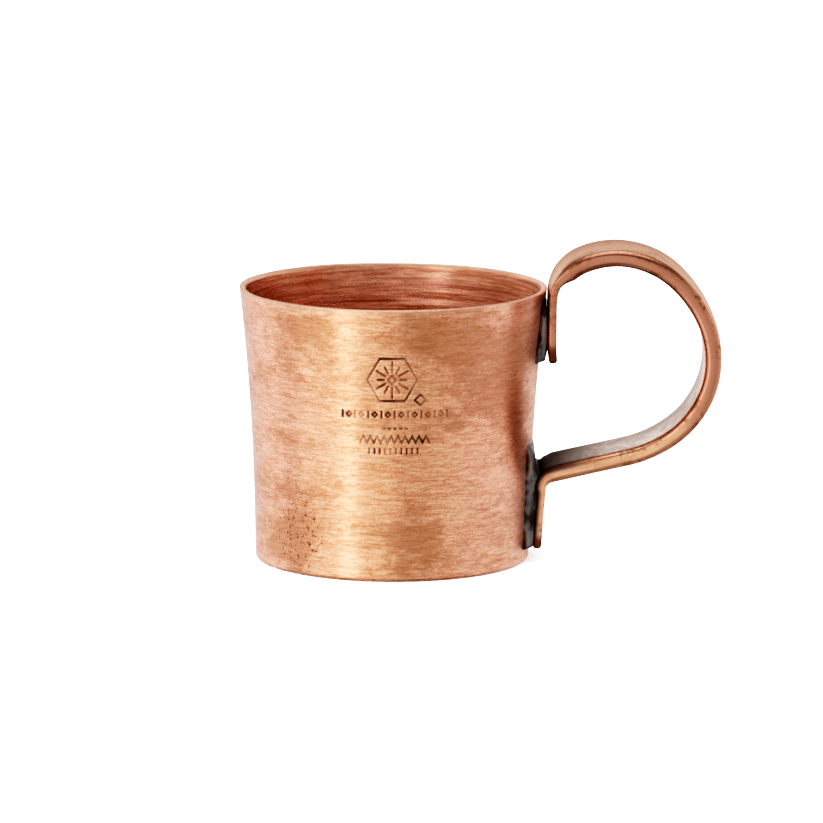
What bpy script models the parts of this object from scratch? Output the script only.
"""Copper mug: a flared copper cup with a bent strap handle brazed to its side.

The origin is at the centre of the foot's underside, +Z is up and the handle is on the +X side.
All sizes are in metres.
"""

from math import cos, pi, radians, sin

import bmesh
import bpy
from mathutils import Vector

MM = 0.001

# Driving dimensions of the cup
CUP_HEIGHT = 80.5 * MM
FOOT_RADIUS = 40.2 * MM       # outside of the wall at the foot
STRAIGHT_TAPER = 1.3 * MM     # even growth in radius from foot to rim
RIM_FLARE = 3.6 * MM          # further growth, most of it near the rim
FLARE_POWER = 2.3
WALL = 1.6 * MM
FOOT_ROUND = 1.2 * MM
RIM_ROUND = 0.4 * MM
BASE_THICKNESS = 1.6 * MM
BASE_EDGE_ROUND = 0.3 * MM
BASE_FILLET = 2.4 * MM        # legs of the filler ring inside the foot
BASE_HOLLOW = 2.16 * MM       # radius of the ring's hollow face
GAP = 0.3 * MM                # clearance between touching pieces
CUTTER_MARGIN = 5 * MM        # how far a cutter runs past what it cuts

# Driving dimensions of the handle strap
STRAP_WIDTH = 25 * MM
TAB_THICKNESS = 2.5 * MM      # the strap is drawn down thin where it lies on the wall
TAB_ROUND = 0.7 * MM          # rounding of the long edges there
GRIP_THICKNESS = 4.8 * MM
GRIP_ROUND = 1.9 * MM
TAB_END = Vector((45.55 * MM, 0, 59.5 * MM))
TAB_END_HEADING = radians(98)

# The strap's back, from the upper tab's end to the lower tab's end: (bend radius, degrees turned)
# for a bend, clockwise as seen from the front when positive, or (length, None) for a straight run.
STRAP_RUNS = [
    (30 * MM, 8),
    (13.2 * MM, None),
    (15 * MM, 66),
    (27.5 * MM, 62),
    (36.5 * MM, 34.5),
    (30 * MM, 65),
    (37 * MM, 29.5),
    (23.4 * MM, None),
    (2.2 * MM, -72.5),
    (17.7 * MM, None),
]
GRIP_START = 23 * MM          # along the strap's back, where it begins to thicken
GRIP_END = 168 * MM           # where it is down to the tab's thickness again
GRIP_RISE = 7 * MM
BEND_STEP = radians(6)
STRAIGHT_STEP = 5 * MM

# Filler metal under the tabs, as outlines in the handle's middle plane (x, z)
BRAZE_HALF_WIDTH = 12.2 * MM  # the filler stops about level with the strap's long edges
BRAZE_ROUND = 1 * MM
UPPER_BRAZE_OUTLINE = [(36, 59), (43.9, 59), (44.9, 63.5), (44.9, 78.5), (36, 78.5)]
LOWER_BRAZE_OUTLINE = [(36, 5), (40.9, 5), (42.3, 22.5), (42.3, 28), (41.8, 31.5), (36, 31.5)]
NOTCH_HALF_WIDTH = 8 * MM     # the upper filler is open in the middle where the wall meets the strap
NOTCH_FLOOR = 70 * MM
NOTCH_SIZE = 20 * MM

TURN_STEPS = 96
ARC_POINTS = 4


def clear_scene():
    for thing in list(bpy.data.objects):
        bpy.data.objects.remove(thing, do_unlink=True)


def new_collection(name):
    collection = bpy.data.collections.new(name)
    bpy.context.scene.collection.children.link(collection)
    return collection


def material(name, colour, roughness):
    made = bpy.data.materials.new(name)
    made.use_nodes = True
    shader = made.node_tree.nodes["Principled BSDF"]
    shader.inputs["Base Color"].default_value = (*colour, 1)
    shader.inputs["Roughness"].default_value = roughness
    shader.inputs["Metallic"].default_value = 1
    return made


def add_object(name, mesh, collection, finish=None):
    made = bpy.data.objects.new(name, mesh)
    collection.objects.link(made)
    if finish:
        mesh.materials.append(finish)
    return made


def smooth(mesh):
    mesh.shade_smooth()
    mesh.set_sharp_from_angle(angle=radians(35))


def arc(centre_r, centre_z, radius, start, end, points=ARC_POINTS):
    """Points (r, z) of an arc, from angle start to angle end in degrees."""
    angles = [radians(start + (end - start) * i / points) for i in range(points + 1)]
    return [(centre_r + radius * cos(a), centre_z + radius * sin(a)) for a in angles]


def turned_mesh(name, profile, closed=True):
    """A mesh of the outline profile, ready for a Screw modifier about Z. An open one ends on the axis."""
    mesh = bpy.data.meshes.new(name)
    edges = [(i, i + 1) for i in range(len(profile) - 1)]
    if closed:
        edges.append((len(profile) - 1, 0))
    mesh.from_pydata([(r, 0, z) for r, z in profile], edges, [])
    return mesh


def turn(piece, steps=TURN_STEPS):
    screw = piece.modifiers.new("Turn", "SCREW")
    screw.axis = "Z"
    screw.angle = 2 * pi
    screw.steps = steps
    screw.render_steps = steps
    screw.use_merge_vertices = True
    screw.merge_threshold = 0.00001
    screw.use_smooth_shade = True


def outer_radius(z):
    """Outside radius of the wall at height z."""
    share = min(max(z / CUP_HEIGHT, 0), 1)
    return FOOT_RADIUS + STRAIGHT_TAPER * share + RIM_FLARE * share ** FLARE_POWER


def wall_heights(low, high, rows):
    return [low + (high - low) * i / rows for i in range(rows + 1)]


def cup_profile():
    """Closed outline of the wall, down its outside and up its inside."""
    top = CUP_HEIGHT
    rim = outer_radius(top)
    foot_inside = FOOT_RADIUS - WALL
    outline = arc(rim - RIM_ROUND, top - RIM_ROUND, RIM_ROUND, 90, 0, 2)
    for z in reversed(wall_heights(FOOT_ROUND, top - RIM_ROUND, 12)[:-1]):
        outline.append((outer_radius(z), z))
    outline += arc(FOOT_RADIUS - FOOT_ROUND, FOOT_ROUND, FOOT_ROUND, 0, -90)[1:]
    outline.append((foot_inside, 0))
    for z in wall_heights(BASE_THICKNESS, top - RIM_ROUND, 10)[:-1]:
        outline.append((outer_radius(z) - WALL, z))
    outline += arc(rim - WALL + RIM_ROUND, top - RIM_ROUND, RIM_ROUND, 180, 90, 2)
    return outline


def make_cup_wall(collection):
    finish = material("worn_copper", (0.78, 0.42, 0.28), 0.32)
    wall = add_object("cup_wall", turned_mesh("cup_wall", cup_profile()), collection, finish)
    turn(wall)


def make_base_plate(collection):
    radius = FOOT_RADIUS - WALL - GAP
    low = arc(radius - BASE_EDGE_ROUND, BASE_EDGE_ROUND, BASE_EDGE_ROUND, 0, -90, 1)
    high = arc(radius - BASE_EDGE_ROUND, BASE_THICKNESS - BASE_EDGE_ROUND, BASE_EDGE_ROUND, 90, 0, 1)
    profile = [(0, BASE_THICKNESS)] + high + low + [(0, 0)]
    finish = material("base_copper", (0.72, 0.38, 0.26), 0.38)
    turn(add_object("base_plate", turned_mesh("base_plate", profile, closed=False), collection, finish))


def make_base_braze(collection):
    """Filler ring with a hollow face, in the corner above the base plate."""
    floor = BASE_THICKNESS + GAP
    outer = outer_radius(floor) - WALL - GAP
    hollow = arc(outer - BASE_FILLET, floor + BASE_FILLET, BASE_HOLLOW, 0, -90)
    profile = [(outer, floor + BASE_FILLET), (outer, floor), (outer - BASE_FILLET, floor)]
    profile += list(reversed(hollow))
    finish = material("base_filler", (0.42, 0.30, 0.22), 0.45)
    ring = add_object("base_braze", turned_mesh("base_braze", profile), collection, finish)
    turn(ring)


def strap_stations():
    """Points along the strap's back, each (distance, point, heading)."""
    point = TAB_END.copy()
    heading = TAB_END_HEADING
    distance = 0
    stations = [(distance, point.copy(), heading)]
    for size, degrees in STRAP_RUNS:
        if degrees is None:
            count = round(size / STRAIGHT_STEP)
            step_length = size / count
            for _ in range(count):
                point += step_length * Vector((cos(heading), 0, sin(heading)))
                distance += step_length
                stations.append((distance, point.copy(), heading))
            continue
        turn_angle = -radians(degrees)
        count = max(2, round(abs(turn_angle) / BEND_STEP))
        step_angle = turn_angle / count
        chord = 2 * size * sin(abs(step_angle) / 2)
        for _ in range(count):
            middle = heading + step_angle / 2
            point += chord * Vector((cos(middle), 0, sin(middle)))
            heading += step_angle
            distance += size * abs(step_angle)
            stations.append((distance, point.copy(), heading))
    return stations


def grip_share(distance):
    """How far the strap has thickened at a distance along it: 0 on the tabs, 1 on the grip."""
    rise = (distance - GRIP_START) / GRIP_RISE
    fall = (GRIP_END - distance) / GRIP_RISE
    share = min(max(min(rise, fall), 0), 1)
    return share * share * (3 - 2 * share)


def half_section(share, grow):
    """Half of the strap's rounded cross-section as (across, depth), from its back to its finger side."""
    half = STRAP_WIDTH / 2 + grow
    finger_side = TAB_THICKNESS + (GRIP_THICKNESS - TAB_THICKNESS) * share + grow
    rounding = TAB_ROUND + (GRIP_ROUND - TAB_ROUND) * share
    points = arc(half - rounding, rounding - grow, rounding, -90, 0)
    points += arc(half - rounding, finger_side - rounding, rounding, 0, 90)
    return points


def strap_mesh(name, grow=0):
    """The strap as a loft between its changing cross-sections, thickened all round by grow."""
    stations = strap_stations()
    mesh = bmesh.new()
    rings = []
    for index, (distance, point, heading) in enumerate(stations):
        along = Vector((cos(heading), 0, sin(heading)))
        inward = Vector((sin(heading), 0, -cos(heading)))
        end_shift = {0: -grow, len(stations) - 1: grow}.get(index, 0)
        half = half_section(grip_share(distance), grow)
        section = half + [(-across, depth) for across, depth in reversed(half)]
        ring = []
        for across, depth in section:
            place = point + along * end_shift + inward * depth + Vector((0, across, 0))
            ring.append(mesh.verts.new(place))
        rings.append(ring)
    count = len(rings[0])
    for near, far in zip(rings, rings[1:]):
        for i in range(count):
            j = (i + 1) % count
            mesh.faces.new((near[i], near[j], far[j], far[i]))
    mesh.faces.new(reversed(rings[0]))
    mesh.faces.new(rings[-1])
    bmesh.ops.recalc_face_normals(mesh, faces=mesh.faces)
    data = bpy.data.meshes.new(name)
    mesh.to_mesh(data)
    mesh.free()
    return data


def make_handle_strap(collection):
    finish = material("strap_copper", (0.74, 0.46, 0.34), 0.3)
    mesh = strap_mesh("handle_strap")
    smooth(mesh)
    add_object("handle_strap", mesh, collection, finish)


def hide_cutter(cutter):
    cutter.hide_render = True
    cutter.display_type = "WIRE"


def cut(piece, cutter):
    boolean = piece.modifiers.new("Clear of " + cutter.name, "BOOLEAN")
    boolean.operation = "DIFFERENCE"
    boolean.solver = "EXACT"
    boolean.object = cutter


def make_cup_cutter(collection):
    """A solid that fills the cup and stands a gap outside its wall."""
    above = CUP_HEIGHT + CUTTER_MARGIN
    heights = list(reversed(wall_heights(0, CUP_HEIGHT, 12)))
    profile = [(0, above), (outer_radius(CUP_HEIGHT) + GAP, above)]
    profile += [(outer_radius(z) + GAP, z) for z in heights]
    profile += [(FOOT_RADIUS + GAP, -CUTTER_MARGIN), (0, -CUTTER_MARGIN)]
    cutter = add_object("cup_space", turned_mesh("cup_space", profile, closed=False), collection)
    turn(cutter)
    hide_cutter(cutter)
    return cutter


def make_strap_cutter(collection):
    cutter = add_object("strap_space", strap_mesh("strap_space", GAP), collection)
    hide_cutter(cutter)
    return cutter


def make_notch_cutter(collection):
    bpy.ops.mesh.primitive_cube_add(size=1)
    cutter = bpy.context.active_object
    cutter.name = "notch_space"
    cutter.scale = (NOTCH_SIZE, 2 * NOTCH_HALF_WIDTH, NOTCH_SIZE)
    cutter.location = (outer_radius(CUP_HEIGHT), 0, NOTCH_FLOOR + NOTCH_SIZE / 2)
    for owner in list(cutter.users_collection):
        owner.objects.unlink(cutter)
    collection.objects.link(cutter)
    hide_cutter(cutter)
    return cutter


def braze_mesh(name, outline):
    """A block of the outline's shape, about as wide as the strap."""
    half = BRAZE_HALF_WIDTH
    mesh = bmesh.new()
    near = [mesh.verts.new((x * MM, -half, z * MM)) for x, z in outline]
    face = mesh.faces.new(near)
    swept = bmesh.ops.extrude_face_region(mesh, geom=[face])["geom"]
    moved = [item for item in swept if isinstance(item, bmesh.types.BMVert)]
    bmesh.ops.translate(mesh, verts=moved, vec=(0, 2 * half, 0))
    bmesh.ops.recalc_face_normals(mesh, faces=mesh.faces)
    data = bpy.data.meshes.new(name)
    mesh.to_mesh(data)
    mesh.free()
    return data


def make_braze(name, outline, cutters, collection):
    finish = material(name + "_metal", (0.09, 0.08, 0.08), 0.42)
    braze = add_object(name, braze_mesh(name, outline), collection, finish)
    bevel = braze.modifiers.new("Round", "BEVEL")
    bevel.width = BRAZE_ROUND
    bevel.segments = 2
    bevel.limit_method = "ANGLE"
    bevel.angle_limit = radians(40)
    for cutter in cutters:
        cut(braze, cutter)


def main():
    clear_scene()
    mug = new_collection("copper_mug")
    cutters = new_collection("cutters")
    make_cup_wall(mug)
    make_base_plate(mug)
    make_base_braze(mug)
    make_handle_strap(mug)
    cup_space = make_cup_cutter(cutters)
    strap_space = make_strap_cutter(cutters)
    notch_space = make_notch_cutter(cutters)
    make_braze("upper_braze", UPPER_BRAZE_OUTLINE, [cup_space, strap_space, notch_space], mug)
    make_braze("lower_braze", LOWER_BRAZE_OUTLINE, [cup_space, strap_space], mug)


main()
